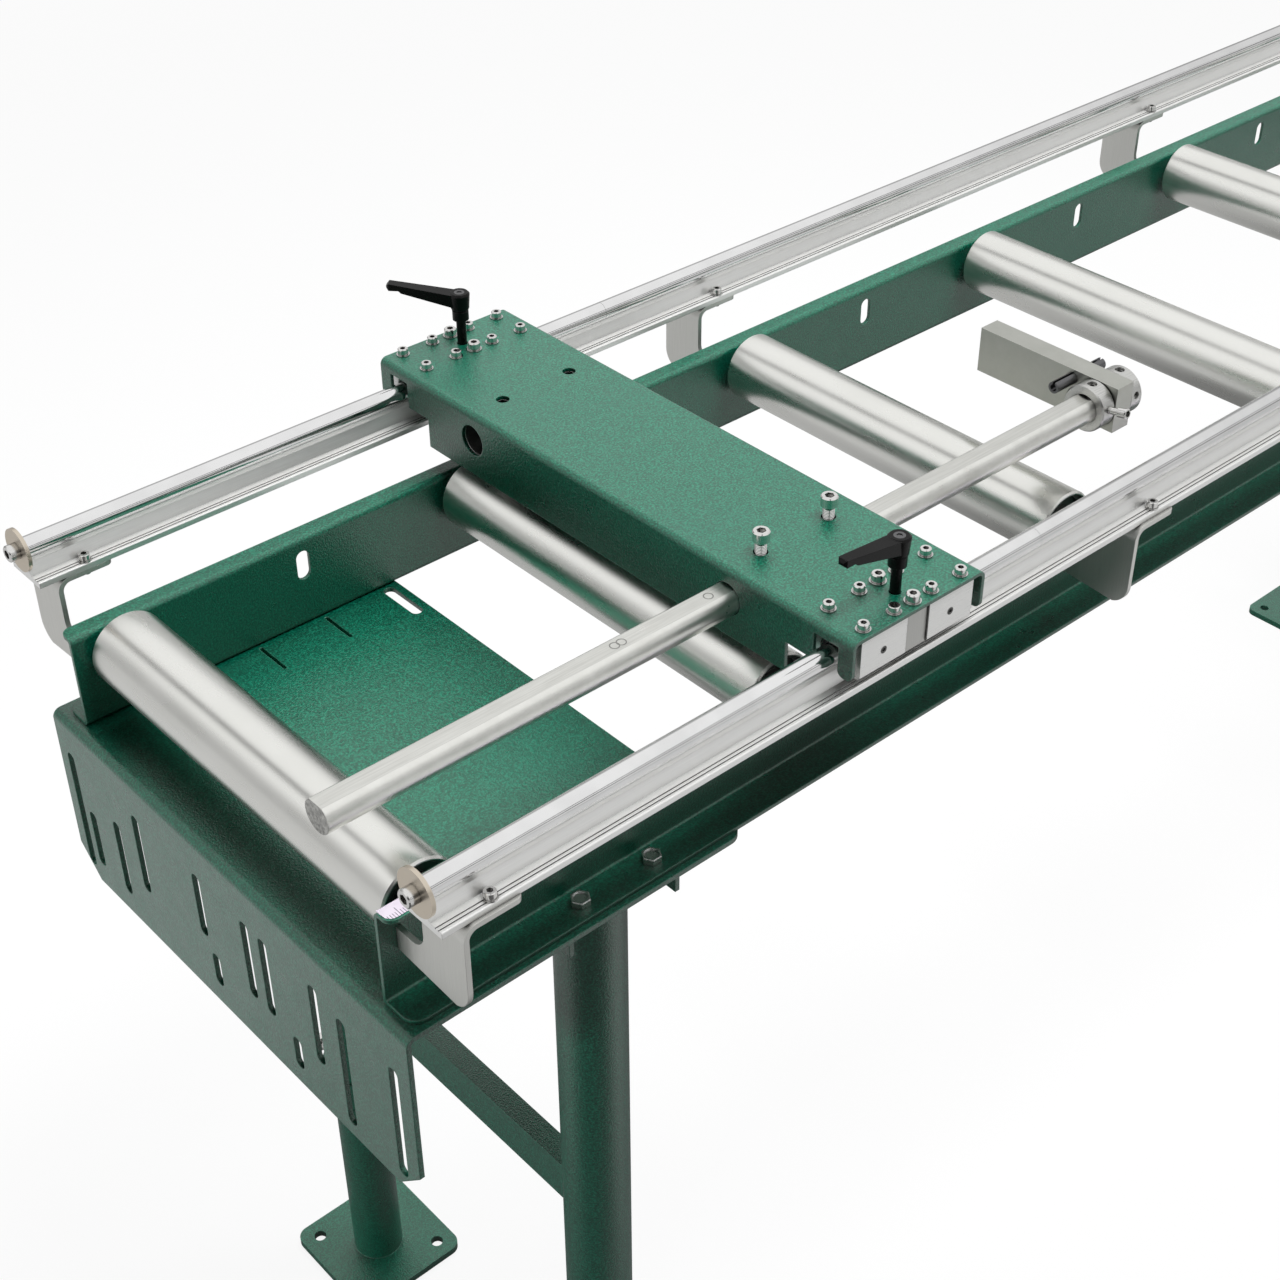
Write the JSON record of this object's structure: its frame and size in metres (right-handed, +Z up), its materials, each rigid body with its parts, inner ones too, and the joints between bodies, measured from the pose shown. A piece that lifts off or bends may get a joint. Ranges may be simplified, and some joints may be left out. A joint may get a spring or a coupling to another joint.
{
  "type": "roller table",
  "caption": "Roller table with folded side rails, round guide rails, a sliding carriage with clamping levers and a length stop on a rod, on two telescopic stands.",
  "frame": {"origin": "on the floor at the centre of the outer foot bolts, half way along the rails and on the centre line of the rollers", "axes": "+X along the table away from the saw end, +Y across to the far guide, +Z up"},
  "size_m": [2.022, 0.5491, 0.9705],
  "materials": {
    "green_paint": "dark green hammered paint, half gloss",
    "aluminium": "brushed or drawn, satin",
    "shaft_chrome": "ground and hard-chromed",
    "steel": "bright zinc or bare drawn steel",
    "zinc": "yellowish zinc plating",
    "tape_white": null,
    "black_plastic": "black, satin",
    "dark_steel": "blackened spring steel"
  },
  "bodies": {
    "table": {"rail_near": "green_paint", "rail_far": "green_paint", "measuring_tape": "tape_white", "adapter_plate": "green_paint", "roller_axles": "steel", "axle_screws": "steel", "guide_base_near": "aluminium", "guide_base_far": "aluminium", "guide_shaft_near": "shaft_chrome", "guide_shaft_far": "shaft_chrome", "shaft_end_washers": "zinc", "shaft_end_screws": "steel", "guide_brackets": "aluminium", "guide_screws": "steel", "guide_washers": "steel", "stand_top_left": "green_paint", "stand_top_right": "green_paint", "columns_left": "green_paint", "columns_right": "green_paint", "stand_braces": "green_paint", "leg_screws": "steel", "rail_bolts": "steel", "rail_washers": "steel", "rail_nuts": "steel"},
    "leg_near_left_body": {"leg_near_left": "green_paint"},
    "leg_far_left_body": {"leg_far_left": "green_paint"},
    "leg_near_right_body": {"leg_near_right": "green_paint"},
    "leg_far_right_body": {"leg_far_right": "green_paint"},
    "roller_1": {"roller_1_shell": "aluminium", "roller_1_hubs": "black_plastic"},
    "roller_2": {"roller_2_shell": "aluminium", "roller_2_hubs": "black_plastic"},
    "roller_3": {"roller_3_shell": "aluminium", "roller_3_hubs": "black_plastic"},
    "roller_4": {"roller_4_shell": "aluminium", "roller_4_hubs": "black_plastic"},
    "roller_5": {"roller_5_shell": "aluminium", "roller_5_hubs": "black_plastic"},
    "roller_6": {"roller_6_shell": "aluminium", "roller_6_hubs": "black_plastic"},
    "roller_7": {"roller_7_shell": "aluminium", "roller_7_hubs": "black_plastic"},
    "carriage": {"carriage_plate": "green_paint", "bearing_blocks": "aluminium", "clamp_blocks": "steel", "block_screws": "steel", "clamp_screws": "steel", "carriage_washers": "steel", "rod_guides": "steel", "rod_clamp_screws": "steel"},
    "near_lever": {"lever_near": "black_plastic", "lever_screw_near": "steel"},
    "far_lever": {"lever_far": "black_plastic", "lever_screw_far": "steel"},
    "rod": {"stop_rod": "steel", "stop_collars": "aluminium", "collar_screws": "steel"},
    "stop": {"stop_bar": "steel", "stop_pin": "dark_steel"}
  },
  "joints": [
    {"name": "roller_1_spin", "type": "hinge", "parent": "table", "child": "roller_1", "pos_m": [-0.96, 0, 0.82], "axis": [0, 1, 0], "continuous": true},
    {"name": "roller_2_spin", "type": "hinge", "parent": "table", "child": "roller_2", "pos_m": [-0.64, 0, 0.82], "axis": [0, 1, 0], "continuous": true},
    {"name": "roller_3_spin", "type": "hinge", "parent": "table", "child": "roller_3", "pos_m": [-0.32, 0, 0.82], "axis": [0, 1, 0], "continuous": true},
    {"name": "roller_4_spin", "type": "hinge", "parent": "table", "child": "roller_4", "pos_m": [0, 0, 0.82], "axis": [0, 1, 0], "continuous": true},
    {"name": "roller_5_spin", "type": "hinge", "parent": "table", "child": "roller_5", "pos_m": [0.32, 0, 0.82], "axis": [0, 1, 0], "continuous": true},
    {"name": "roller_6_spin", "type": "hinge", "parent": "table", "child": "roller_6", "pos_m": [0.64, 0, 0.82], "axis": [0, 1, 0], "continuous": true},
    {"name": "roller_7_spin", "type": "hinge", "parent": "table", "child": "roller_7", "pos_m": [0.96, 0, 0.82], "axis": [0, 1, 0], "continuous": true},
    {"name": "carriage_slide", "type": "slide", "parent": "table", "child": "carriage", "axis": [1, 0, 0], "range_m": [-0.335, 1.525]},
    {"name": "near_lever_turn", "type": "hinge", "parent": "carriage", "child": "near_lever", "pos_m": [-0.595, -0.241, 0.93], "axis": [0, 0, 1], "range_deg": [-90, 90]},
    {"name": "far_lever_turn", "type": "hinge", "parent": "carriage", "child": "far_lever", "pos_m": [-0.595, 0.241, 0.93], "axis": [0, 0, 1], "range_deg": [-90, 90]},
    {"name": "rod_slide", "type": "slide", "parent": "carriage", "child": "rod", "axis": [1, 0, 0], "range_m": [-0.25, 0.33]},
    {"name": "stop_swing", "type": "hinge", "parent": "rod", "child": "stop", "pos_m": [-0.241, -0.145, 0.892], "axis": [1, 0, 0], "range_deg": [0, 125]},
    {"name": "leg_near_left_slide", "type": "slide", "parent": "table", "child": "leg_near_left_body", "axis": [0, 0, 1], "range_m": [-0.2, 0.1]},
    {"name": "leg_far_left_slide", "type": "slide", "parent": "table", "child": "leg_far_left_body", "axis": [0, 0, 1], "range_m": [-0.2, 0.1]},
    {"name": "leg_near_right_slide", "type": "slide", "parent": "table", "child": "leg_near_right_body", "axis": [0, 0, 1], "range_m": [-0.2, 0.1]},
    {"name": "leg_far_right_slide", "type": "slide", "parent": "table", "child": "leg_far_right_body", "axis": [0, 0, 1], "range_m": [-0.2, 0.1]}
  ]
}
